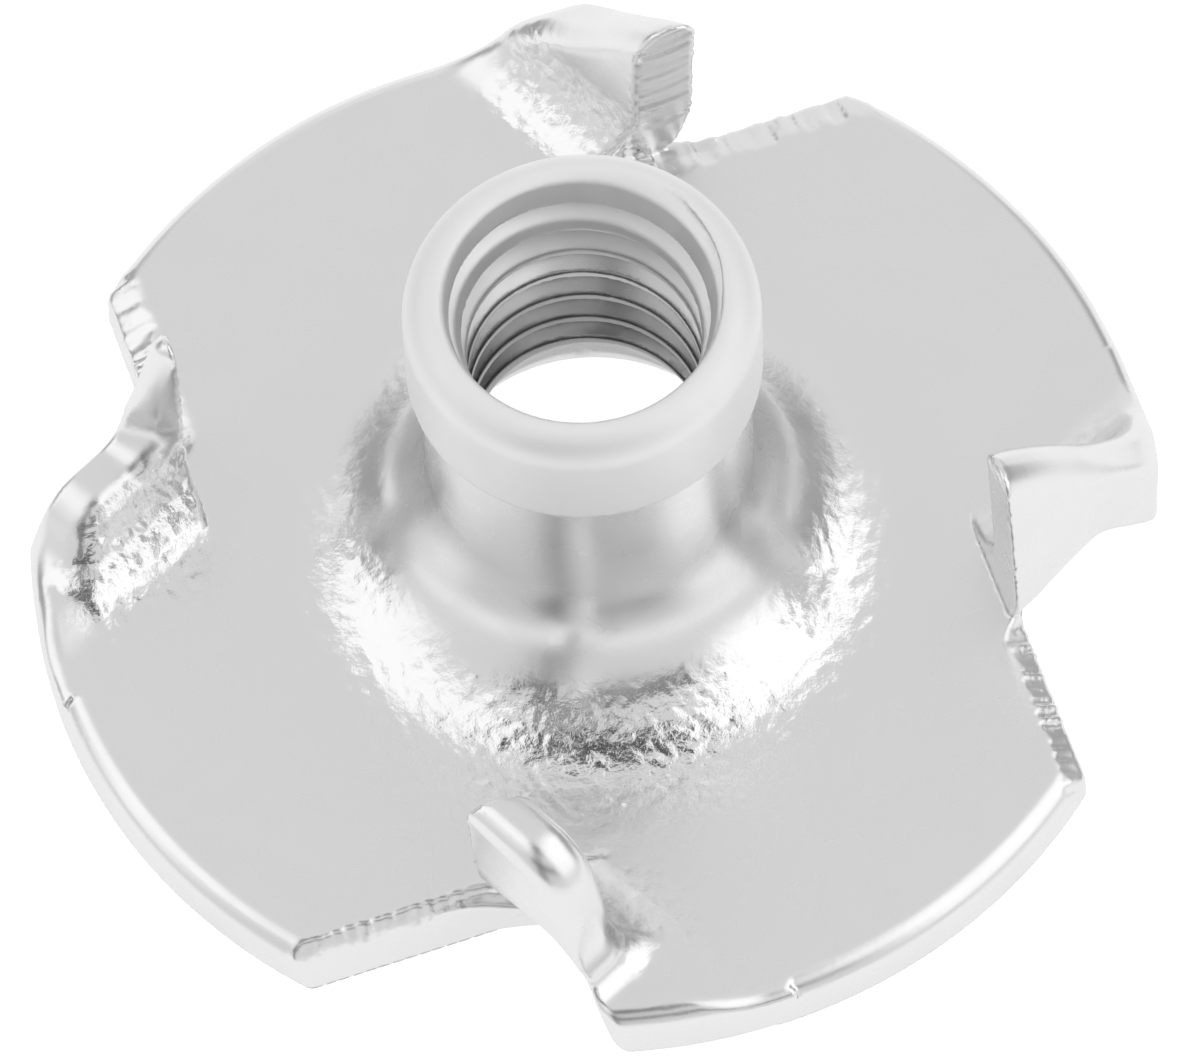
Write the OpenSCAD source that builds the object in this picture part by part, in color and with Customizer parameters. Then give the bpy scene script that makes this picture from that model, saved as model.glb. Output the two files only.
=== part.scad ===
// Four-prong tee nut: a stamped and drawn steel flange with a threaded barrel,
// one piece. Origin: centre of the flange's flat underside. +Z: along the
// barrel, away from that underside. Prong 1 stands at the +Y side; the others
// follow every 90 degrees, clockwise seen from +Z. Sizes in mm.

/* [Flange] */
// Outside diameter of the round flange
flange_d = 20.4; // [19.6:0.1:21.6]
// Thickness of the steel sheet
sheet_t = 1.04; // [0.9:0.02:1.14]
// Edge rounding of the flange's upper rim
rim_round = 0.46; // [0.14:0.02:0.5]

/* [Barrel] */
// Height of the mouth above the flange's underside
barrel_h = 9.2; // [8.4:0.1:15]
// Radius of the barrel's thick lip
lip_r = 3.14; // [3.06:0.01:3.8]
// Height at which the lip starts
lip_z = 6.94; // [5.9:0.02:7.5]
// Radius of the barrel below the lip
body_r = 2.91; // [2.74:0.01:2.94]
// Rounding of the lip's outer shoulder
nose_r = 0.59; // [0.26:0.01:0.62]
// Radius of the flare between barrel and flange
flare_r = 2.68; // [2.3:0.02:3]
// Radius of the fillet under the lip
under_lip_r = 0.22; // [0.06:0.01:0.22]

/* [Bore] */
// Radius of the thread's crests, the wall of the bore
bore_r = 2.067; // [1.92:0.001:2.167]
// Radius of the mouth's chamfered edge
mouth_r = 2.5; // [2.36:0.01:2.6]
// Radius below that chamfer, where the thread's first turn runs out
lead_r = 2.26; // [2.18:0.01:2.34]
// Height at which the bore comes to the radius of the thread's crests
lead_z = 8.2; // [7.9:0.05:8.3]
// Height at which the underside funnel meets the bore
funnel_z = 3.96; // [3.6:0.02:4.4]
// Radius of the funnel's rounding into the underside
funnel_round = 2.04; // [1.54:0.02:2.3]
// Height at which the funnel's cone passes into that rounding
cone_z = 1.34; // [1.04:0.02:1.5]
// Slope of the funnel's cone from the level
cone_deg = 68; // [66:0.5:74]

/* [Notch] */
// Direction of the sheared edge, from X
shear_deg = 16.2; // [12:0.2:20]
// Width of the torn strip above sheared edges 1, 2, 3 and 4
torn_w = [0.64, 0.43, 0.2, 0.59]; // [0.14:0.01:0.76]
// Depth of that torn strip at its outer side
torn_t = 0.26; // [0.06:0.01:0.5]
// Distance of sheared edges 1, 2, 3 and 4 inward of their prong's foot corner
notch_in = [0, 0.38, 0.43, 0.18]; // [0:0.01:0.5]

/* [Prong] */
// Distance along X from the axis to a prong's inner foot corner
foot_x = 1.13; // [0.9:0.01:1.4]
// Distance along Y from the axis to a prong's inner foot corner
foot_y = 7.59; // [7.4:0.01:7.8]
// Directions in which the flat faces of prongs 1, 2, 3 and 4 point, from X
fold_deg = [42, 42, 42, 42]; // [34:0.5:48]
// Radius of a prong's fold on its inner side
fold_r = 1.4; // [0.9:0.02:1.66]
// Radius of a prong's fold on its outer side
fold_out_r = 2.2; // [1.6:0.05:2.4]
// Thickness of a prong above its fold
prong_t = 1.07; // [0.9:0.01:1.14]
// Centres of the arched outer edges of flaps 1, 2, 3 and 4, across the prong
arch_y = [-6.4, -6.4, -8.6, -10]; // [-10.6:0.02:-6]
// Centres of those arched outer edges, in height
arch_z = [-3.1, -3.1, 1.2, 3.5]; // [-3.8:0.02:4]
// Inside radius where those edges run into the flange's rim
neck_r = [2.04, 2.04, 0.7, 0.5]; // [0.4:0.02:2.5]
// Width of the heel that the fold left beside prongs 1, 2, 3 and 4
heel_w = [0.6, 0.6, 0.6, 2.34]; // [0.4:0.02:2.5]
// Height of that heel above the underside
heel_z = [1.8, 1.8, 1.8, 2.26]; // [1.6:0.02:2.4]
// Rounding of that heel
heel_r = 1.06; // [0.6:0.02:1.3]
// Heights of the tips of prongs 1, 2, 3 and 4 above the underside
tip_z = [5.44, 5.6, 5.3, 5.6]; // [5.1:0.02:5.86]
// Width of a prong's blunt tip
tip_w = 0.3; // [0.14:0.02:0.5]
// Width of the shoulders below the tips of prongs 1, 2, 3 and 4
shoulder_w = [0.6, 0.8, 0.96, 0.4]; // [0.34:0.02:1.14]
// Height from those shoulders up to the tip
shoulder_h = 1.3; // [1:0.05:1.5]
// Rounding of a tip toward the prong's outer face
tip_out_r = 0.54; // [0.26:0.02:0.62]
// Rounding of a tip toward the prong's inner face
tip_in_r = 0.26; // [0.06:0.01:0.38]
// How far the sheared sides of prongs 1, 2, 3 and 4 lie outward
side_dy = [0, -0.59, -0.18, -0.4]; // [-0.76:0.01:0]
// Lean of prongs 1, 2, 3 and 4 over their notches
lean_deg = [2, -9, 0, -10]; // [-12:1:6]

/* [Hidden] */
e = 0.01;
big = 40;
// size of the blocks that cut the notches and the sheared sides
block = 28;
// how far a prong's foot reaches into the flange
foot_in = 0.4;
// how far a flap's outline starts beyond its foot corner, for the shear to cut
start_y = -2;
// height over which the rim's edge runs out upward beside a prong
runout = 1;
flange_r = flange_d / 2;
flare_x = body_r + flare_r;
flare_z = sheet_t + flare_r;
cone_x = bore_r + (funnel_z - cone_z) / tan(cone_deg);
round_x = cone_x + funnel_round * sin(cone_deg);
prong_n = 4;
// overlap that joins a prong's foot to the sheet beside it
lap = 0.02;

// right half of the barrel-and-flange section, before the bore
module outer_section() {
    // flange, with its rounded upper rim
    square([flange_r - rim_round, sheet_t]);
    square([flange_r, sheet_t - rim_round]);
    translate([flange_r - rim_round, sheet_t - rim_round]) circle(rim_round, $fn = 24);
    // barrel up to the lip
    square([body_r, lip_z + e]);
    // lip with its rounded shoulder
    translate([0, lip_z]) square([lip_r, barrel_h - nose_r - lip_z]);
    square([lip_r - nose_r, barrel_h]);
    translate([lip_r - nose_r, barrel_h - nose_r]) circle(nose_r, $fn = 32);
    // fillet under the lip
    difference() {
        translate([body_r - e, lip_z - under_lip_r]) square([under_lip_r + e, under_lip_r + e]);
        translate([body_r + under_lip_r, lip_z - under_lip_r]) circle(under_lip_r, $fn = 16);
    }
    // flare into the flange
    difference() {
        translate([body_r - e, sheet_t - e]) square([flare_r + e, flare_r + e]);
        translate([flare_x, flare_z]) circle(flare_r, $fn = 60);
    }
}

// what the punch and the tap take out of that section
module inner_section() {
    translate([0, -1]) square([bore_r, barrel_h + 2]);
    // mouth: a chamfer, then a lead into the bore
    polygon([[0, barrel_h + e], [mouth_r + e, barrel_h + e], [lead_r, barrel_h - (mouth_r - lead_r)],
             [bore_r, lead_z], [0, lead_z]]);
    // funnel: a cone, then a rounding into the underside
    polygon([[0, cone_z - e], [cone_x, cone_z - e], [cone_x, cone_z], [bore_r, funnel_z], [0, funnel_z]]);
    difference() {
        translate([0, -1]) square([round_x, cone_z + 1]);
        translate([round_x, funnel_round]) circle(funnel_round, $fn = 52);
    }
}

module turned_body() {
    rotate_extrude($fn = 96) difference() {
        outer_section();
        inner_section();
    }
}

// frame at a prong's inner foot corner, along its sheared side
module at_shear() {
    translate([foot_x, foot_y, 0]) rotate([0, 0, shear_deg]) children();
}

// frame at the same corner, along the way the prong's flat faces point
module at_fold(i) {
    translate([foot_x, foot_y, 0]) rotate([0, 0, fold_deg[i]]) children();
}

// the notch left by one flap: an upright sheared wall with a torn strip above
module notch(i) {
    intersection() {
        at_shear() translate([-block / 2, lap - notch_in[i], -1]) cube(block);
        at_fold(i) translate([-fold_r, -block / 2, -2]) cube(block);
    }
    intersection() {
        at_shear() translate([-block / 2, lap - notch_in[i], sheet_t - torn_t])
            rotate([-atan(torn_t / torn_w[i]), 0, 0]) translate([0, -block / 3, 0]) cube(block);
        at_fold(i) translate([-torn_t, -block / 2, -2]) cube(block);
    }
    // root of the flap, where it tore free
    intersection() {
        sheared_side(i, lap);
        at_fold(i) translate([-fold_r, -block / 2, -2]) cube([fold_r + prong_t, block, block]);
    }
}

// everything outward of a prong's sheared side
module sheared_side(i, out) {
    at_shear() translate([-block / 2, side_dy[i] + out, -1]) cube(block);
}

// section of a flap bent up from the flange, seen along its fold
module bent_section(i) {
    cz = sheet_t + fold_r;
    lean = lean_deg[i];
    in_x = tan(lean) * (tip_z[i] - tip_in_r - cz) + tip_in_r / cos(lean);
    out_x = prong_t + tan(lean) * (tip_z[i] - tip_out_r - cz) - tip_out_r / cos(lean);
    difference() {
        union() {
            // fold, round on its inner side
            difference() {
                translate([-fold_r - foot_in, 0]) square([fold_r + foot_in + prong_t, cz]);
                translate([-fold_r, cz]) circle(fold_r, $fn = 96);
                translate([-fold_r - block, sheet_t]) square([block, block]);
            }
            // blade with a rounded end, leaning over above the fold
            polygon([[0, cz], [prong_t, cz],
                     [out_x + tip_out_r * cos(lean), tip_z[i] - tip_out_r - tip_out_r * sin(lean)],
                     [out_x, tip_z[i]], [in_x, tip_z[i]],
                     [in_x - tip_in_r * cos(lean), tip_z[i] - tip_in_r + tip_in_r * sin(lean)]]);
            translate([in_x, tip_z[i] - tip_in_r]) circle(tip_in_r, $fn = 32);
            translate([out_x, tip_z[i] - tip_out_r]) circle(tip_out_r, $fn = 48);
        }
        // outer side of the fold
        difference() {
            translate([prong_t - fold_out_r, -1]) square([fold_out_r + 1, fold_out_r + 1]);
            translate([prong_t - fold_out_r, fold_out_r]) circle(fold_out_r, $fn = 96);
        }
    }
}

// side outline of the flap, seen along its faces' direction
module blade_outline(i) {
    nr = neck_r[i];
    nz = sheet_t + nr;
    ny = arch_y[i] + sqrt(pow(flange_r + nr, 2) - pow(nz - arch_z[i], 2));
    // up to the arched edge
    intersection() {
        translate([arch_y[i], arch_z[i]]) circle(flange_r, $fn = 180);
        translate([start_y, 0]) square([flange_r, flange_r]);
    }
    // blunt tip with a sloping shoulder
    translate([side_dy[i] / cos(fold_deg[i] - shear_deg), 0])
        polygon([[start_y, 0], [shoulder_w[i], 0], [shoulder_w[i], tip_z[i] - shoulder_h],
                 [tip_w, tip_z[i] + lap], [start_y, tip_z[i] + lap]]);
    // heel of the fold
    translate([start_y, 0]) square([heel_w[i] - heel_r - start_y, heel_z[i]]);
    translate([start_y, 0]) square([heel_w[i] - start_y, heel_z[i] - heel_r]);
    translate([heel_w[i] - heel_r, heel_z[i] - heel_r]) circle(heel_r, $fn = 48);
    // foot, running out into the rim
    translate([start_y, 0]) square([flange_r, sheet_t]);
    difference() {
        translate([start_y, 0]) square([ny - start_y, arch_z[i] + (nz - arch_z[i]) * flange_r / (flange_r + nr)]);
        translate([ny, nz]) circle(nr, $fn = 96);
    }
}

// room a prong may fill: the flange's rounded rim, running out upward
module rim_room() {
    rotate_extrude($fn = 96) {
        square([flange_r - rim_round, sheet_t + rim_round]);
        square([flange_r, sheet_t - rim_round]);
        translate([flange_r - rim_round, sheet_t - rim_round]) circle(rim_round, $fn = 24);
        polygon([[0, sheet_t], [flange_r - rim_round, sheet_t], [flange_r, sheet_t + runout], [flange_r, barrel_h],
                 [0, barrel_h]]);
    }
}

module prong(i) {
    intersection() {
        at_fold(i) intersection() {
            translate([0, big / 2, 0]) rotate([90, 0, 0]) linear_extrude(big) bent_section(i);
            translate([-big / 2, 0, 0]) rotate([90, 0, 90]) linear_extrude(big) blade_outline(i);
        }
        sheared_side(i, 0);
    }
}

module tee_nut() {
    color([0.78, 0.79, 0.80]) union() {
        difference() {
            turned_body();
            for (i = [0:prong_n - 1]) rotate([0, 0, -90 * i]) notch(i);
        }
        intersection() {
            rim_room();
            union() for (i = [0:prong_n - 1]) rotate([0, 0, -90 * i]) prong(i);
        }
    }
}

tee_nut();
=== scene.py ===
# %% [markdown]
# # A pronged tee nut of bright zinc-plated steel
#
# A tee nut is one piece of sheet steel. A press draws the middle of a round blank up into a
# barrel, shears four flaps free from the rim and bends them up into prongs. The barrel is then
# tapped for an M5 screw, and the whole nut is plated with zinc.
#
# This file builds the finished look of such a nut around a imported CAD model, which is loaded
# first and is never moved or changed. One detailed mesh stands in for the CAD solid in the
# picture.

import math

import bpy
import numpy as np
import openvdb
from mathutils import Matrix, Vector


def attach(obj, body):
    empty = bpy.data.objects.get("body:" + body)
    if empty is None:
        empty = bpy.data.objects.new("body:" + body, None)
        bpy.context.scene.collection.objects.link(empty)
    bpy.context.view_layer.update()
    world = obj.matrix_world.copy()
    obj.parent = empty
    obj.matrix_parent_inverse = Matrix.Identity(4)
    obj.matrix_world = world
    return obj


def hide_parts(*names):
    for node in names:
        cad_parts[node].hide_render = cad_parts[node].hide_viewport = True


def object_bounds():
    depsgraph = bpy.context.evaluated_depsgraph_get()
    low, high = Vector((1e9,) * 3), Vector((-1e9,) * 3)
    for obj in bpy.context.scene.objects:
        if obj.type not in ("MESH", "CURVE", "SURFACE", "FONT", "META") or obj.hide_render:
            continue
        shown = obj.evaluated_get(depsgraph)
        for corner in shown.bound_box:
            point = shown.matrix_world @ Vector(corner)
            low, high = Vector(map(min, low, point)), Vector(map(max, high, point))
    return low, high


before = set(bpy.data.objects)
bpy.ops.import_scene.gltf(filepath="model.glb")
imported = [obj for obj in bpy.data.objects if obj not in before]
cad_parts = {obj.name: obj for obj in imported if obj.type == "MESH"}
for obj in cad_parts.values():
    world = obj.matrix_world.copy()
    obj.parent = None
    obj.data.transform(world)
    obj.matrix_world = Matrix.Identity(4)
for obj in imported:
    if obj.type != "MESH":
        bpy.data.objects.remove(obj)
cad_low, cad_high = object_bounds()
print("CAD box in mm:", [round(1000 * v, 2) for v in (*cad_low, *cad_high)])

# %% [markdown]
# ## The workbench
#
# Blender measures in metres, and this nut is only 20 mm wide. Its shape is worked out in
# millimetres, where the numbers stay readable, and the finished mesh is scaled to metres once, at
# the end. The two outside sizes come from the CAD box, so the look can never drift away from the
# solid.

# %% Sizes of the nut, in millimetres
MM = 0.001
flange_r = (cad_high.x - cad_low.x) / 2 / MM
barrel_h = cad_high.z / MM
sheet_t = 1.04
rim_round = 0.46

# the barrel, the lip at its mouth and the flare at its foot
body_r = 2.91
lip_r = 3.14
lip_z = 6.94
nose_r = 0.59
flare_r = 2.68

# the bore with its M5 thread, and the funnel below it
crest_r = 2.067
root_r = 2.5
pitch = 0.8
funnel_z = 3.96
funnel_round = 2.04
funnel_slope = math.radians(68)
print(f"flange {2 * flange_r:.2f} mm, height {barrel_h:.2f} mm, thread pitch {pitch} mm")

# %% [markdown]
# ## Modelling with distances
#
# A pressed part has no sharp corners: every fold, sheared edge and rim is a little round, and the
# drawn barrel flows into the flange. Bevels on a mesh with so many slanted cuts soon fail. So the
# nut is described by a *signed distance*: a function that is negative inside the metal, positive
# outside and zero on the surface. Solids are then joined with `min` and cut with `max`. The two
# helpers below do the same but leave a round of a chosen radius where two surfaces meet.

# %% Joining and cutting with round corners
def round_join(a, b, radius):
    """Union of two solids, with a fillet of that radius in the corner between them."""
    reach = np.hypot(np.maximum(radius - a, 0), np.maximum(radius - b, 0))
    return np.maximum(radius, np.minimum(a, b)) - reach


def round_meet(a, b, radius):
    """What two solids share, with the edge between them rounded to that radius."""
    reach = np.hypot(np.maximum(radius + a, 0), np.maximum(radius + b, 0))
    return np.minimum(-radius, np.maximum(a, b)) + reach


def step_up(value, start, end):
    """0 before start, 1 after end, and a smooth S-curve between."""
    t = np.clip((value - start) / (end - start), 0, 1)
    return t * t * (3 - 2 * t)


print("a square corner rounded to 1 mm passes", round(1 - math.sqrt(0.5), 3), "mm inside it")

# %% [markdown]
# ## The drawn barrel and its flange
#
# Everything that a press or a lathe makes round needs only two coordinates: the distance `r` from
# the axis and the height `z`. The flange is all that lies below the sheet's top, the barrel is
# all that lies within its radius, and a join with a 2.7 mm fillet between them is the flare where
# the steel was drawn up. The lip at the mouth is a little thicker than the barrel below it.

# %% Turned outside
def turned_outside(r, z):
    """Distance to the barrel and flange before the bore is made."""
    wall_r = body_r + (lip_r - body_r) * step_up(z, lip_z - 0.2, lip_z + 0.05)
    drawn = round_join(z - sheet_t, r - wall_r, flare_r)
    drawn = round_meet(drawn, r - flange_r, rim_round)
    return round_meet(drawn, z - barrel_h, nose_r)


thickness = -float(turned_outside(9.0, 0.0))
print("at 9 mm from the axis the steel is", round(thickness, 2), "mm thick")

# %% [markdown]
# ## The bore and its thread
#
# From the flat side a punch leaves a wide funnel, and from the mouth a tap cuts an M5 thread: a
# 60-degree groove that climbs 0.8 mm a turn, right-handed. In the distance function the helix
# needs no swept mesh. The height above the nearest turn is enough to say whether a point lies in
# the groove. The groove runs out just above the funnel, where the tap's tapered end stopped. At
# the mouth the wall widens, and the first turns are worn down.

# %% Thread, mouth and funnel
flank = math.radians(30)
groove_half = 3 * pitch / 8
groove_depth = root_r - crest_r
groove_round, crest_round = 0.04, 0.03
thread_phase = 0.20
thread_low, thread_high = funnel_z - 0.25, barrel_h - 1.0
worn_off = 0.7
mouth_wall_r = 2.42


def bore_with_thread(x, y, r, z):
    """Distance to the threaded hole, which widens at the mouth. Negative in the hole."""
    turn = (z - thread_phase) / pitch - np.arctan2(y, x) / (2 * math.pi)
    above = np.abs(turn - np.round(turn)) * pitch
    worn = worn_off * step_up(z, thread_high - 0.5, thread_high + 0.5)
    run_out = step_up(-z, -thread_low - 0.5, -thread_low) + worn
    widening = step_up(z, thread_high - 0.6, barrel_h + 0.1)
    wall_r = crest_r + (mouth_wall_r - crest_r) * widening
    depth = r - wall_r + groove_depth * run_out
    groove = depth * math.sin(flank) + (above - groove_half) * math.cos(flank)
    groove = round_meet(groove, r - wall_r - groove_depth, groove_round)
    return round_join(r - wall_r, groove, crest_round)


def funnel(r, z):
    """Distance to the punched funnel under the bore. Negative in the funnel."""
    cone = (r - crest_r - (funnel_z - z) / math.tan(funnel_slope)) * math.sin(funnel_slope)
    return np.maximum(cone, z - funnel_z)


turns = (thread_high - thread_low) / pitch
print("thread of", round(turns, 1), "turns, with grooves", round(groove_depth, 2), "mm deep")

# %% [markdown]
# ## The notches and the prongs
#
# Each flap was sheared along a slanted line. The shear leaves an upright burnished wall with a
# torn, sloping strip above it. The flap was then folded up about its own line, so it keeps the
# sheet's thickness, has a round inner corner and a fuller outer one, and its outer edge is still
# the arc of the flange's rim. The four flaps are alike but not equal, so each has its own small
# numbers: how deep its notch is, how far its sheared side lies out, how far it leans. They are
# listed clockwise from the far side, as seen from above.

# %% Sizes of the notches and prongs
# where the first prong's sheared line and its fold meet, and the directions of the two
foot_x, foot_y = 1.13, 7.59
shear_angle = math.radians(16.2)
fold_angle = math.radians(42)

# the fold: inner radius, thickness, where it is drawn in, height over which a lean sets in, and the
# outer radius that is left at its far end
fold_r = 1.4
prong_t = 1.07
fold_middle, fold_half = 1.4, 1.9
lean_ease = 0.4
tail_bend = 0.2

# the torn strip: depth and reach; and the roundings of the sheared edges
torn_t = 0.26
tear_reach = 1.9
tear_end_round = 0.2
sheared_round = 0.05
notch_round = 0.06
side_round = 0.09

# the heel beside the fold, the rim left on a flap, and how far its foot runs into the flange
heel_r = 1.06
heel_fillet = 0.7
flap_rim_round = 0.38
foot_overlap = 0.4

# the steel left in a notch's corner: how far its top lies under the sheet's and how it falls away,
# the height below which its outline stays the same, and how far it runs into the steel behind it
corner_drop, corner_fall = 0.6 * torn_t, 0.35
corner_foot = 0.35
corner_overlap = 0.3

PRONGS = [
    # notch: depth of the notch inward; slope: how far its wall comes forward at the bottom;
    # torn: width of its torn strip, and the distance across the fold at which it starts;
    # corner: rounding of its inner corner; side: place of the sheared side;
    # lean: in degrees, over the notch; thin: how much the fold is drawn in between its ends;
    # bend: outer radius of the fold; arch: centre of the arched edge, along and up;
    # skew: slant of that edge through the sheet; neck: fillet from that edge to the rim;
    # lift: how far the fold still rises beyond it; heel: width and height of the heel;
    # tip: height and rounding of the tip
    dict(notch=0.0, slope=0.06, torn=(0.64, -0.3), corner=0.6, side=0.0, lean=2, thin=0.12,
         bend=2.2, arch=(-6.4, -3.1), skew=0, neck=2.04, lift=0.46, heel=(0.6, 1.8),
         tip=(5.3, 0.5)),
    dict(notch=0.38, slope=0.06, torn=(0.43, 0.9), corner=0.3, side=-0.59, lean=-9, thin=0.1,
         bend=2.0, arch=(-6.4, -3.1), skew=0, neck=2.04, lift=0.4, heel=(0.6, 1.8),
         tip=(5.5, 0.3)),
    dict(notch=0.6, slope=0.36, torn=(0.12, 0.5), corner=1.2, side=-0.18, lean=3, thin=0.15,
         bend=3.2, arch=(-8.4, 2.4), skew=0, neck=0.6, lift=0.2, heel=(0.6, 1.8),
         tip=(5.3, 0.9)),
    dict(notch=0.18, slope=0.06, torn=(0.59, 0.3), corner=0.9, side=-0.4, lean=-10, thin=0.12,
         bend=2.2, arch=(-10, 3.5), skew=0.4, neck=0.6, lift=0.2, heel=(2.4, 2.26),
         tip=(5.6, 0.3)),
]
print(len(PRONGS), "prongs,", [size["tip"][0] for size in PRONGS], "mm high")


def turned_about(x, y, angle):
    """Coordinates seen from a frame that is turned by that angle."""
    return x * math.cos(angle) + y * math.sin(angle), y * math.cos(angle) - x * math.sin(angle)


def prong_frames(x, y, number):
    """Coordinates along the sheared line and across the fold of one prong."""
    x, y = turned_about(x, y, -math.pi / 2 * number)
    sheared_line = turned_about(x - foot_x, y - foot_y, shear_angle)
    fold_line = turned_about(x - foot_x, y - foot_y, fold_angle)
    return sheared_line + fold_line


# %% Cutting a notch
def cut_notch(steel, x, y, z, number):
    """Takes one notch, with its torn strip, out of the flange."""
    size = PRONGS[number]
    _, past_shear, across, _ = prong_frames(x, y, number)
    past_wall = past_shear + size["notch"] + size["slope"] * (z / sheet_t - 1)
    opening = round_meet(-past_wall, -across - fold_r, sheared_round)
    steel = round_meet(steel, -opening, notch_round)
    torn_w, torn_from = size["torn"]
    slope = math.atan2(torn_t, torn_w)
    above_tear = (z - sheet_t + torn_t) * math.cos(slope) + past_wall * math.sin(slope)
    tear = round_meet(-above_tear, torn_from - across, tear_end_round)
    tear = np.maximum(tear, -past_wall - tear_reach)
    return round_meet(steel, -tear, sheared_round)


print("torn strips", [size["torn"][0] for size in PRONGS], "mm wide and", torn_t, "mm deep")

# %% Bending up a prong
def fold_faces(across, along, z, size):
    """Distances to the fold's outer face and to the hollow on its inner side."""
    rise = np.maximum(z - sheet_t - fold_r + lean_ease, 0)
    across = across - math.tan(math.radians(size["lean"])) * rise * rise / (rise + lean_ease)
    mid_fold = np.clip(1 - ((along - fold_middle) / fold_half) ** 2, 0, 1)
    face = prong_t - size["thin"] * mid_fold * step_up(-z, -3.3, -1.5)
    outer_r = size["bend"] - (size["bend"] - tail_bend) * step_up(along, 1.0, 2.9)
    outside = round_meet(across - face, -z, outer_r)
    hollow = round_meet(across, sheet_t - z, fold_r)
    return outside, hollow


def flap_outline(across, along, z, size):
    """Distance to the flap's outline, seen from its notch: arched edge, blunt tip and heel."""
    tip_z, tip_round = size["tip"]
    upper = step_up(z, 2.0, 3.0)
    along = along - size["skew"] * upper * (across - 0.8)
    arch = np.hypot(along - size["arch"][0], z - size["arch"][1]) - flange_r
    blade = round_meet(arch, z - tip_z, tip_round)
    heel = round_meet(along - size["heel"][0], z - size["heel"][1], heel_r)
    return round_join(blade, heel, heel_fillet)


def prong(x, y, r, z, number):
    """Distance to one prong with its fold."""
    size = PRONGS[number]
    _, past_shear, across, along = prong_frames(x, y, number)
    outside, hollow = fold_faces(across, along, z, size)
    foot_top = sheet_t + size["lift"]
    outline = round_join(flap_outline(across, along, z, size), z - foot_top, size["neck"])
    edge = round_meet(outline, r - flange_r, flap_rim_round)
    edge_round = size["lift"] + (rim_round - size["lift"]) * step_up(z, sheet_t, sheet_t + 0.5)
    flap = round_meet(-hollow, edge, edge_round)
    outer_round = 0.12 + 0.36 * step_up(z, 2.6, 4.2)
    flap = round_meet(flap, outside, outer_round)
    root = np.minimum(0, -size["notch"] - size["side"]) * step_up(-z, -sheet_t - 0.5, -sheet_t)
    flap = round_meet(flap, size["side"] + root - past_shear, side_round)
    return np.maximum(flap, -across - fold_r - foot_overlap)


print("folds with an inner radius of", fold_r, "mm, in steel", prong_t, "mm thick")

# %% Filling the corner between a notch and its prong
def notch_corner(x, y, z, number):
    """Distance to the steel that rounds the corner where the flap tore free of the sheet."""
    size = PRONGS[number]
    _, past_shear, across, along = prong_frames(x, y, number)
    past_wall = past_shear + size["notch"] + size["slope"] * (z / sheet_t - 1)
    outside, _ = fold_faces(across, along, np.clip(z, corner_foot, sheet_t), size)
    corner = round_join(past_wall, outside, size["corner"])
    top = z - sheet_t + corner_drop + corner_fall * np.maximum(past_wall, 0)
    corner = round_meet(round_meet(corner, top, 0.1), -z, 0.2)
    overlap = -np.minimum(past_wall, outside) - corner_overlap
    reach = np.maximum(past_wall, outside) - size["corner"]
    return np.maximum(corner, np.maximum(overlap, reach))


print("corners rounded to", [size["corner"] for size in PRONGS], "mm")

# %% [markdown]
# ## What pressing and shearing did to the skin
#
# Where sheet steel is stretched over a die, its crystals turn unevenly and the skin wrinkles: an
# "orange peel". It shows on the flare and on the folds. Torn steel is different: it is ribbed
# along the way the tool moved. Both are real relief, so they are added to the distance, about a
# hundredth of a millimetre high, instead of being painted on. The pattern is a sum of waves in
# random directions, which has no seams and no repeats, and the same seed always gives the same
# nut. On the flare the waves are drawn out around the barrel, the way the steel flowed.

# %% Wrinkles and ribs
fold_stretch = (1.0, 0.45, 0.5, 1.0)
rib_height, side_rib_height = 0.016, 0.008
dent_height, dent_length = 0.006, 4.5
drawn_out = 3.2


def wave_noise(x, y, z, length, seed, count=18):
    """Irregular waves about `length` apart, mostly between -2 and 2."""
    dice = np.random.default_rng(seed)
    total = np.zeros(np.broadcast(x, y, z).shape)
    for _ in range(count):
        way = dice.normal(size=3)
        way *= 2 * math.pi * dice.uniform(0.7, 1.4) / length / np.linalg.norm(way)
        total += np.cos(way[0] * x + way[1] * y + way[2] * z + dice.uniform(0, 2 * math.pi))
    return total * math.sqrt(2 / count)


def stretched_flare(x, y, z):
    """How much the skin of the flare was stretched, from 0 to 1; the near side shows it most."""
    r = np.hypot(x, y)
    toward = 0.45 + 0.55 * step_up(-y / np.maximum(r, 0.1), -0.4, 0.5)
    return step_up(r, 3.4, 4.3) * step_up(-r, -7.2, -5.0) * step_up(z, 0.5, 0.9) * toward


def stretched_folds(x, y, z):
    """How much the skin inside the prongs' folds was stretched, from 0 to 1."""
    zone = 0.0
    for number, strength in enumerate(fold_stretch):
        _, past_shear, across, along = prong_frames(x, y, number)
        fold = step_up(across, -2.1, -1.3) * step_up(-across, -0.5, 0.1)
        fold = fold * step_up(-z, -2.9, -2.0)
        fold = fold * step_up(past_shear, -0.9, 0.1) * step_up(-along, -3.6, -2.4)
        zone = np.maximum(zone, strength * fold)
    return zone * step_up(z, 0.5, 0.9)


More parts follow.
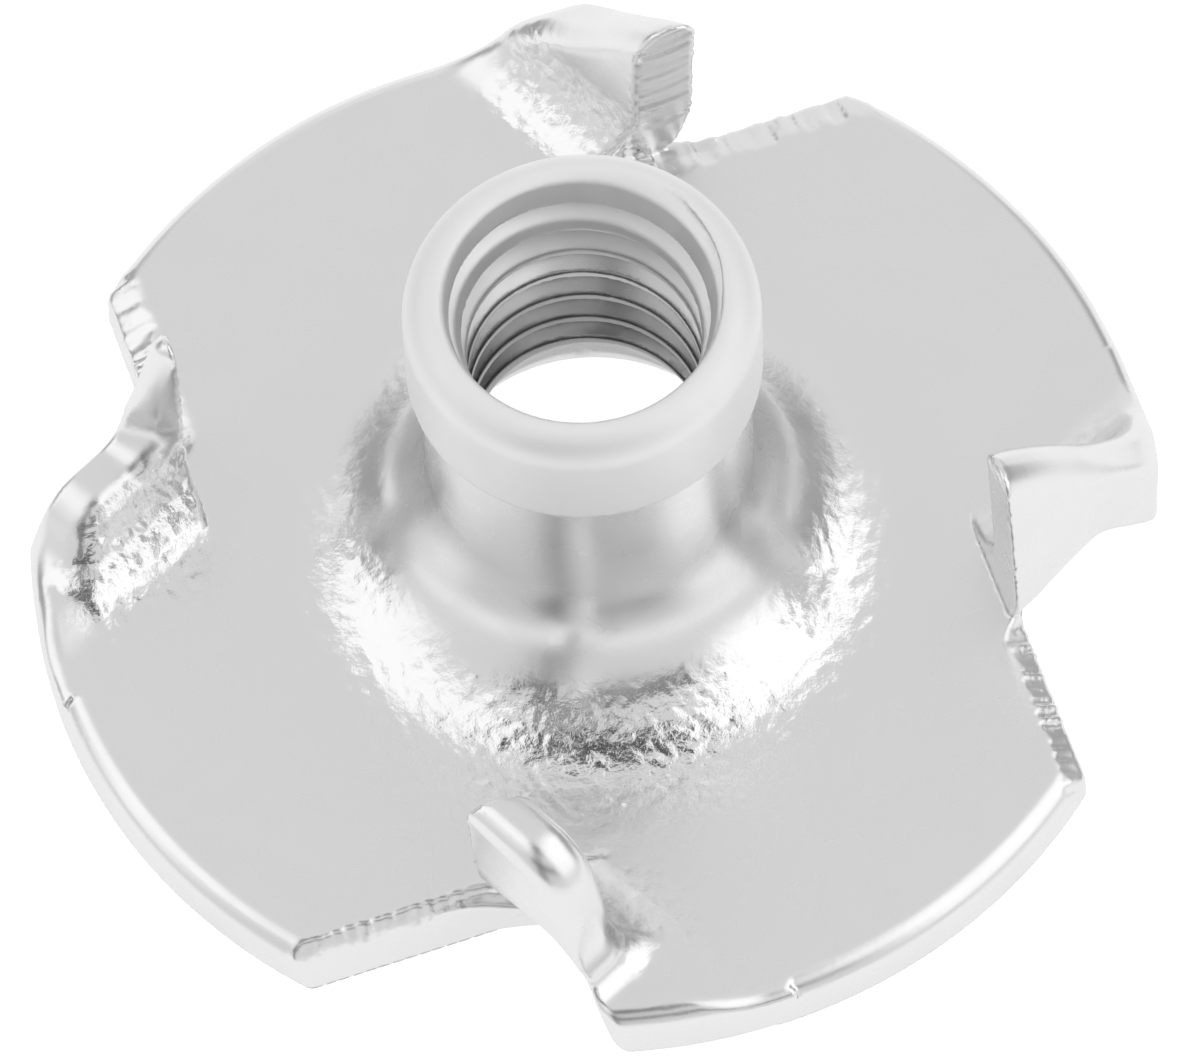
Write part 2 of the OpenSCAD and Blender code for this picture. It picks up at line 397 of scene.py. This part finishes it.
def torn(x, y, z):
    """Ribs on the torn strips and on the sheared sides, in millimetres."""
    ribs = 0
    for number, size in enumerate(PRONGS):
        along_shear, past_shear, across, _ = prong_frames(x, y, number)
        past_wall = past_shear + size["notch"]
        torn_w, torn_from = size["torn"]
        strip = step_up(past_wall, -torn_w - 0.1, -torn_w + 0.1)
        strip = strip * step_up(-past_wall, -0.25, -0.05)
        strip = strip * step_up(z, sheet_t - torn_t - 0.12, sheet_t - torn_t)
        strip = strip * step_up(across, torn_from, torn_from + 0.3) * step_up(-z, -1.3, -1.1)
        rib = wave_noise(8 * along_shear, past_wall, z, 1.6, 40 + number)
        ribs = ribs + rib_height * strip * rib
        side = step_up(-past_shear, -size["side"] - 0.15, -size["side"] - 0.05)
        side = side * step_up(past_shear, size["side"] - 0.3, size["side"] - 0.15)
        side = side * step_up(z, 1.3, 1.8)
        side = side * step_up(across, -0.5, -0.2) * step_up(-across, -1.5, -1.2)
        curve = z - 0.35 * (across - 0.4) ** 2
        rib = wave_noise(5 * curve, across, past_shear, 1.5, 50 + number)
        ribs = ribs + side_rib_height * side * rib
    return ribs


def relief(x, y, z):
    """Height of the skin's relief, in millimetres: round bumps with a finer pattern on them."""
    r = np.maximum(np.hypot(x, y), 0.1)
    around = (r, drawn_out * x / r, drawn_out * y / r)
    peel = 0.006 * np.abs(wave_noise(*around, 0.34, 3))
    peel = peel + 0.003 * wave_noise(*around, 0.2, 5) - 0.004
    crumple = 0.009 * np.abs(wave_noise(x, y, z, 0.36, 8))
    crumple = crumple + 0.004 * wave_noise(x, y, z, 0.22, 9) - 0.007
    dents = dent_height * wave_noise(x, y, z, dent_length, 11) * step_up(z, 0.5, 0.9)
    skin = stretched_flare(x, y, z) * peel + stretched_folds(x, y, z) * crumple
    return skin + torn(x, y, z) + dents


print("waves of 1 mm at the first five points:", wave_noise(np.arange(5.0), 0, 0, 1.0, 1).round(2))

# %% [markdown]
# ## From a distance to a mesh
#
# The distance is measured at the points of a fine grid, and OpenVDB, the volume library inside
# Blender, wraps a mesh around its zero level. Only a thin band near the surface matters, but the
# grid of a part this small can be filled whole, a few layers at a time. The relief is the costly
# part, so it is added only to the grid points near the surface.

# %% Measure the nut on a grid
GRID = 0.07
MARGIN = 4 * GRID
BAND = 3 * GRID
LAYERS = 24
base_round = 0.07
bore_edge_round, mouth_round_added = 0.03, 0.12


def axis_points(low, high):
    """Grid points from low to high, with a margin."""
    return np.arange(low - MARGIN, high + MARGIN, GRID, dtype=np.float32)


def nut_distance(x, y, z):
    """Signed distance to the whole nut, for arrays of points."""
    r = np.hypot(x, y)
    steel = turned_outside(r, z)
    for number in range(len(PRONGS)):
        steel = cut_notch(steel, x, y, z, number)
    for number in range(len(PRONGS)):
        steel = np.minimum(steel, prong(x, y, r, z, number))
        steel = np.minimum(steel, notch_corner(x, y, z, number))
    steel = round_meet(steel, -z, base_round)
    at_mouth = step_up(z, barrel_h - 0.6, barrel_h - 0.2)
    edge_round = bore_edge_round + mouth_round_added * at_mouth
    steel = round_meet(steel, -bore_with_thread(x, y, r, z), edge_round)
    base = round_meet(-z, -funnel(r, z), funnel_round)
    return np.maximum(steel, base)


xs = axis_points(-flange_r, flange_r)
zs = axis_points(0, barrel_h)
grid_values = np.empty((len(xs), len(xs), len(zs)), np.float32)
for start in range(0, len(xs), LAYERS):
    x, y, z = np.meshgrid(xs[start : start + LAYERS], xs, zs, indexing="ij", sparse=True)
    block = nut_distance(x, y, z)
    near = np.nonzero(np.abs(block) < MARGIN)
    block[near] -= relief(x.ravel()[near[0]], y.ravel()[near[1]], z.ravel()[near[2]])
    grid_values[start : start + LAYERS] = block
deepest = round(float(grid_values.min()), 2)
print("grid of", grid_values.shape, "points, lowest distance", deepest, "mm")

# %% Wrap a mesh around it
def mesh_from_grid(name, values):
    """A Blender mesh on the zero level of the grid."""
    band = openvdb.FloatGrid(background=BAND)
    band.copyFromArray(np.clip(values, -BAND, BAND), tolerance=1e-6)
    points, _, quads = band.convertToPolygons(isovalue=0.0)
    points = points * GRID + np.array([xs[0], xs[0], zs[0]])
    mesh = bpy.data.meshes.new(name)
    mesh.from_pydata(points.tolist(), [], quads.tolist())
    return mesh


steel = bpy.data.objects.new("tee_nut_steel", mesh_from_grid("tee_nut_steel", grid_values))
bpy.context.scene.collection.objects.link(steel)
print("wrapped mesh:", len(steel.data.vertices), "points,", len(steel.data.polygons), "faces")

# %% [markdown]
# ## Keeping the mesh light
#
# The grid gives the flat flange as many faces as the thread, which is wasteful. The Decimate
# modifier merges faces where the surface is flat and keeps them where it bends. After it, each
# point is moved along the distance's own slope onto the exact surface, because merging has
# shifted it a little.

# %% Merge faces on the flat parts
TRIANGLES = 190_000


def decimate(obj, triangles):
    """Lowers an object's triangle count with the Decimate modifier, applied to its mesh."""
    merge = obj.modifiers.new("merge_flat_faces", "DECIMATE")
    merge.ratio = min(1.0, triangles / (2 * len(obj.data.polygons)))
    merge.use_collapse_triangulate = True
    graph = bpy.context.evaluated_depsgraph_get()
    mesh = bpy.data.meshes.new_from_object(obj.evaluated_get(graph))
    obj.modifiers.clear()
    obj.data = mesh


decimate(steel, TRIANGLES)
print("after merging:", len(steel.data.polygons), "triangles")

# %% Settle the points on the surface
def read_points(mesh):
    """The mesh's points as an array."""
    flat = np.empty(3 * len(mesh.vertices))
    mesh.vertices.foreach_get("co", flat)
    return flat.reshape(-1, 3)


def skin_distance(x, y, z):
    """Signed distance to the nut with the relief of its skin."""
    return nut_distance(x, y, z) - relief(x, y, z)


def slope_at(points, step=0.01):
    """Direction in which the distance grows, at each point."""
    slope = np.empty_like(points)
    for axis in range(3):
        ahead, behind = points.copy(), points.copy()
        ahead[:, axis] += step
        behind[:, axis] -= step
        slope[:, axis] = skin_distance(*ahead.T) - skin_distance(*behind.T)
    return slope / (2 * step)


points = read_points(steel.data)
for _ in range(2):
    slope = slope_at(points)
    length = np.maximum((slope**2).sum(1), 0.05)
    shift = slope * (skin_distance(*points.T) / length)[:, None]
    points -= np.clip(shift, -GRID / 2, GRID / 2)
worst = float(abs(skin_distance(*points.T)).max())
print("largest distance from the true surface:", round(worst, 4), "mm")

# %% Back to metres
steel.data.vertices.foreach_set("co", (points * MM).ravel())
steel.data.update()
for polygon in steel.data.polygons:
    polygon.use_smooth = True
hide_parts("tee_nut")
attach(steel, "root")
print("the mesh is", round(float(np.ptp(points[:, 0])) * MM, 5), "m wide")

# %% [markdown]
# ## The plating
#
# Zinc plate is a bright metal, so the material is almost nothing but a roughness. On the flat
# sheet it is satin. Where the steel was stretched the tool also polished it: the wrinkles are
# glossier, and finer than the mesh can carry, so a bump adds the smallest of them. Deep in the
# bore the grey is painted darker, a painted shade for the dim inside of the hole, and the lip is
# duller and paler than the rest. Each point of the mesh stores these three numbers, and the
# shader reads them as attributes.

# %% Helpers for shader nodes
def new_node(tree, kind, **values):
    """Adds a node; values are its settings, or its inputs by name with _ for a space."""
    node = tree.nodes.new(kind)
    for name, value in values.items():
        if hasattr(node, name):
            setattr(node, name, value)
        else:
            node.inputs[name.replace("_", " ")].default_value = value
    return node


def calculate(tree, operation, *numbers):
    """One Math node; its inputs are sockets or numbers. Returns its output."""
    node = new_node(tree, "ShaderNodeMath", operation=operation)
    for socket, value in zip(node.inputs, numbers):
        if isinstance(value, bpy.types.NodeSocket):
            tree.links.new(value, socket)
        else:
            socket.default_value = value
    return node.outputs[0]


def ramp(tree, value, start, end, low=0.0, high=1.0):
    """A smooth step from low at start to high at end."""
    node = new_node(tree, "ShaderNodeMapRange", interpolation_type="SMOOTHSTEP")
    tree.links.new(value, node.inputs["Value"])
    for name, number in zip(("From Min", "From Max", "To Min", "To Max"), (start, end, low, high)):
        node.inputs[name].default_value = number
    return node.outputs["Result"]


# %% Zinc plate
# the last of these darkens the grey deep in the bore: painted shade
PLATE_GREY, LIP_GREY_ADDED, BORE_SHADE_PAINTED = 0.85, 0.09, -0.50
SATIN_LOW, SATIN_HIGH = 0.24, 0.32
WORKED_ADDED, LIP_ADDED = -0.12, 0.34
GRAIN_FLAT, GRAIN_WORKED_ADDED = 0.05, 0.7
GRAIN_SCALE, CLOUD_SCALE = 7000.0, 900.0
GRAIN_DEPTH = 0.00003


def mark_points(mesh, name, values):
    """Stores one number per point, for the shader."""
    attribute = mesh.attributes.new(name, "FLOAT", "POINT")
    attribute.data.foreach_set("value", values.astype(np.float32))


def zinc_plate():
    """Zinc-plated steel: satin on the flat sheet, glossier and wrinkled where it was stretched."""
    material = bpy.data.materials.new("zinc_plate")
    material.use_nodes = True
    tree = material.node_tree
    shader = tree.nodes["Principled BSDF"]
    shader.inputs["Metallic"].default_value = 1.0
    # the attribute deep says where the base colour is darkened in the bore: painted shade
    deep = new_node(tree, "ShaderNodeAttribute", attribute_name="deep").outputs["Fac"]
    dull = new_node(tree, "ShaderNodeAttribute", attribute_name="dull").outputs["Fac"]
    dull = calculate(tree, "MULTIPLY", dull, calculate(tree, "SUBTRACT", 1.0, deep))
    grey = calculate(tree, "MULTIPLY_ADD", dull, LIP_GREY_ADDED, PLATE_GREY)
    grey = calculate(tree, "MULTIPLY_ADD", deep, BORE_SHADE_PAINTED, grey)
    tree.links.new(grey, shader.inputs["Base Color"])
    worked = new_node(tree, "ShaderNodeAttribute", attribute_name="stretched").outputs["Fac"]
    place = new_node(tree, "ShaderNodeTexCoord").outputs["Object"]
    grain = new_node(tree, "ShaderNodeTexNoise", Scale=GRAIN_SCALE, Detail=3.0, Roughness=0.6)
    cloud = new_node(tree, "ShaderNodeTexNoise", Scale=CLOUD_SCALE, Detail=2.0, Roughness=0.5)
    tree.links.new(place, grain.inputs["Vector"])
    tree.links.new(place, cloud.inputs["Vector"])
    roughness = ramp(tree, cloud.outputs["Fac"], 0.25, 0.75, SATIN_LOW, SATIN_HIGH)
    roughness = calculate(tree, "MULTIPLY_ADD", worked, WORKED_ADDED, roughness)
    roughness = calculate(tree, "MULTIPLY_ADD", dull, LIP_ADDED, roughness)
    tree.links.new(roughness, shader.inputs["Roughness"])
    depth = calculate(tree, "MULTIPLY_ADD", worked, GRAIN_WORKED_ADDED, GRAIN_FLAT)
    height = calculate(tree, "MULTIPLY", grain.outputs["Fac"], depth)
    bump = new_node(tree, "ShaderNodeBump", Strength=0.6, Distance=GRAIN_DEPTH)
    tree.links.new(height, bump.inputs["Height"])
    tree.links.new(bump.outputs["Normal"], shader.inputs["Normal"])
    return material


radius = np.hypot(points[:, 0], points[:, 1])
above_flange = points[:, 2]
stretched = np.maximum(stretched_flare(*points.T), stretched_folds(*points.T))
# painted shade: the part of the bore whose colour is darkened
painted_bore_shade = step_up(-radius, -2.7, -2.5) * step_up(-above_flange, -8.2, -4.8)
on_lip = step_up(-radius, -3.4, -3.2) * step_up(above_flange, lip_z - 0.2, lip_z + 0.1)
mark_points(steel.data, "stretched", stretched)
mark_points(steel.data, "deep", painted_bore_shade)
mark_points(steel.data, "dull", on_lip)
steel.data.materials.clear()
steel.data.materials.append(zinc_plate())
shares = [round(100 * float(mark.mean()), 1) for mark in (stretched, painted_bore_shade, on_lip)]
print("stretched, deep in the bore and on the lip, in % of the points:", shares)

# %% [markdown]
# ## The studio
#
# Bright metal has almost no colour of its own: it shows the room around it. So the room is drawn
# with care. The sky is one world shader that turns a direction into a brightness. It works with
# two angles: the azimuth, 0 on the near side and 90 degrees to the right, and the height over the
# horizon. Large soft panels stand to the left and right, and the near side, where the camera
# stands, is darker in places. Those dark cards give the barrel its stripes, the flare its dark
# patches and the thread its grey turns. Each panel or card moves the room's light toward its own
# brightness.

# %% Soft panels and dark cards around the nut
ROOM_LIGHT = 0.75
PANELS = [
    # brightness, azimuth from and to, height from and to, softness of the edges; all in degrees
    (1.24, 45, 130, 17, 76, 9),
    (1.14, -130, -50, 17, 76, 9),
    (0.74, -75, 48, 12, 46, 9),
    (0.28, -30, -6, 0, 70, 6),
    (0.36, 100, 150, -10, 27, 9),
    (0.36, 210, 260, -10, 27, 9),
    (0.86, 156, 204, -5, 32, 6),
    (0.10, -38, 36, 31, 42, 3),
]
SPOTS = [
    # brightness, azimuth, height, radius, softness of the edge; all in degrees
    (0.06, 0, 78, 11, 3),
]


def lay_over(tree, light, brightness, mask):
    """Moves the light toward a brightness, as far as the mask says."""
    change = calculate(tree, "SUBTRACT", brightness, light)
    return calculate(tree, "ADD", light, calculate(tree, "MULTIPLY", change, mask))


def draw_room(world):
    """Builds the world's shader: a brightness for each direction."""
    tree = world.node_tree
    tree.nodes.clear()
    place = new_node(tree, "ShaderNodeTexCoord")
    axes = new_node(tree, "ShaderNodeSeparateXYZ")
    tree.links.new(place.outputs["Generated"], axes.inputs[0])
    right, away, up = axes.outputs
    azimuth = calculate(tree, "ARCTAN2", right, calculate(tree, "MULTIPLY", away, -1.0))
    azimuth = calculate(tree, "MULTIPLY", azimuth, math.degrees(1))
    height = calculate(tree, "MULTIPLY", calculate(tree, "ARCSINE", up), math.degrees(1))
    light = ROOM_LIGHT
    for brightness, left, right_end, low, high, soft in PANELS:
        middle = (left + right_end) / 2
        offset = calculate(tree, "SUBTRACT", azimuth, middle)
        offset = calculate(tree, "ABSOLUTE", calculate(tree, "WRAP", offset, 180.0, -180.0))
        half = (right_end - left) / 2
        mask = ramp(tree, offset, half - soft, half + soft, 1.0, 0.0)
        over_foot = ramp(tree, height, low - soft, low + soft)
        under_top = ramp(tree, height, high - soft, high + soft, 1.0, 0.0)
        mask = calculate(tree, "MULTIPLY", mask, over_foot)
        mask = calculate(tree, "MULTIPLY", mask, under_top)
        light = lay_over(tree, light, brightness, mask)
    for brightness, turn, rise, radius, soft in SPOTS:
        turn, rise = math.radians(turn), math.radians(rise)
        flat_part = math.cos(rise)
        middle = (flat_part * math.sin(turn), -flat_part * math.cos(turn), math.sin(rise))
        toward = new_node(tree, "ShaderNodeVectorMath", operation="DOT_PRODUCT")
        tree.links.new(place.outputs["Generated"], toward.inputs[0])
        toward.inputs[1].default_value = middle
        cosine = calculate(tree, "MINIMUM", toward.outputs["Value"], 1.0)
        angle = calculate(tree, "ARCCOSINE", cosine)
        angle = calculate(tree, "MULTIPLY", angle, math.degrees(1))
        mask = ramp(tree, angle, radius - soft, radius + soft, 1.0, 0.0)
        light = lay_over(tree, light, brightness, mask)
    seen = new_node(tree, "ShaderNodeLightPath")
    room = new_node(tree, "ShaderNodeBackground")
    tree.links.new(light, room.inputs["Strength"])
    white = new_node(tree, "ShaderNodeBackground")
    mix = new_node(tree, "ShaderNodeMixShader")
    tree.links.new(seen.outputs["Is Camera Ray"], mix.inputs["Fac"])
    tree.links.new(room.outputs[0], mix.inputs[1])
    tree.links.new(white.outputs[0], mix.inputs[2])
    output = new_node(tree, "ShaderNodeOutputWorld")
    tree.links.new(mix.outputs[0], output.inputs["Surface"])
    for background in (room, white):
        background.inputs["Color"].default_value = (1, 1, 1, 1)


world = bpy.data.worlds.new("studio")
bpy.context.scene.world = world
world.use_nodes = True
draw_room(world)
bpy.context.scene.view_settings.view_transform = "Standard"
print("the room is drawn with", len(world.node_tree.nodes), "nodes")

# %% [markdown]
# ## The floor
#
# The nut lies on white paper. To keep the paper white without flooding the nut with light, most
# of its brightness is a glow that only the camera and the metal's reflections see. The rest is a
# plain matte surface, which catches the nut's soft shadow.

# %% White paper
PAPER_GREY = (0.35, 0.35, 0.35, 1)
GLOW_IN_METAL, GLOW_IN_VIEW = 0.74, 0.92


def white_paper():
    """Matte white, with a glow for camera, glossy and transmission rays."""
    material = bpy.data.materials.new("white_paper")
    material.use_nodes = True
    tree = material.node_tree
    matte = tree.nodes["Principled BSDF"]
    matte.inputs["Base Color"].default_value = PAPER_GREY
    matte.inputs["Roughness"].default_value = 1.0
    matte.inputs["Specular IOR Level"].default_value = 0.0
    seen = new_node(tree, "ShaderNodeLightPath")
    glossy, through = seen.outputs["Is Glossy Ray"], seen.outputs["Is Transmission Ray"]
    mirrored = calculate(tree, "MAXIMUM", glossy, through)
    glow_seen = calculate(tree, "MULTIPLY", mirrored, GLOW_IN_METAL)
    straight = seen.outputs["Is Camera Ray"]
    glow_seen = calculate(tree, "MULTIPLY_ADD", straight, GLOW_IN_VIEW, glow_seen)
    glow = new_node(tree, "ShaderNodeEmission")
    tree.links.new(glow_seen, glow.inputs["Strength"])
    both = new_node(tree, "ShaderNodeAddShader")
    tree.links.new(matte.outputs[0], both.inputs[0])
    tree.links.new(glow.outputs[0], both.inputs[1])
    tree.links.new(both.outputs[0], tree.nodes["Material Output"].inputs["Surface"])
    return material


floor_half = 0.6
corners = [(floor_half * x, floor_half * y, 0) for x, y in ((-1, -1), (1, -1), (1, 1), (-1, 1))]
floor_mesh = bpy.data.meshes.new("paper_floor")
floor_mesh.from_pydata(corners, [], [(0, 1, 2, 3)])
floor_mesh.materials.append(white_paper())
floor = bpy.data.objects.new("paper_floor", floor_mesh)
bpy.context.scene.collection.objects.link(floor)
print("paper of", 2 * floor_half, "m on a side")

# %% [markdown]
# ## The camera
#
# The nut is seen from high up, with a long lens from 204 mm away, so that nothing is stretched.
# The camera is built from three directions: back to it, to its right and up. It is rolled a few
# degrees about its line of sight, and then aimed a fraction of a degree aside, which centres the
# nut.

# %% Camera
camera_height = math.radians(61.72)
camera_distance = 204.0
focal_length, sensor_width = 338.2, 36.0
camera_roll = math.radians(-3.17)
aim_right, aim_down = math.radians(-0.0248), math.radians(0.0985)

lens = bpy.data.cameras.new("camera")
lens.sensor_width = sensor_width
lens.lens = focal_length
lens.clip_start, lens.clip_end = 0.01, 10
camera = bpy.data.objects.new("camera", lens)
bpy.context.scene.collection.objects.link(camera)
bpy.context.scene.camera = camera

back = Vector((0, -math.cos(camera_height), math.sin(camera_height)))
right = Vector((1, 0, 0))
up = back.cross(right)
tilted_right = right * math.cos(camera_roll) + up * math.sin(camera_roll)
tilted_up = up * math.cos(camera_roll) - right * math.sin(camera_roll)
turn = Matrix.Rotation(aim_right, 3, tilted_up)
ahead, side = turn @ -back, turn @ tilted_right
turn = Matrix.Rotation(aim_down, 3, side)
ahead, above = turn @ ahead, turn @ tilted_up
camera.matrix_world = Matrix.Translation(back * camera_distance * MM) @ Matrix(
    (side, above, -ahead)
).transposed().to_4x4()
print("camera at", [round(v, 4) for v in camera.location], "lens", round(lens.lens, 1), "mm")
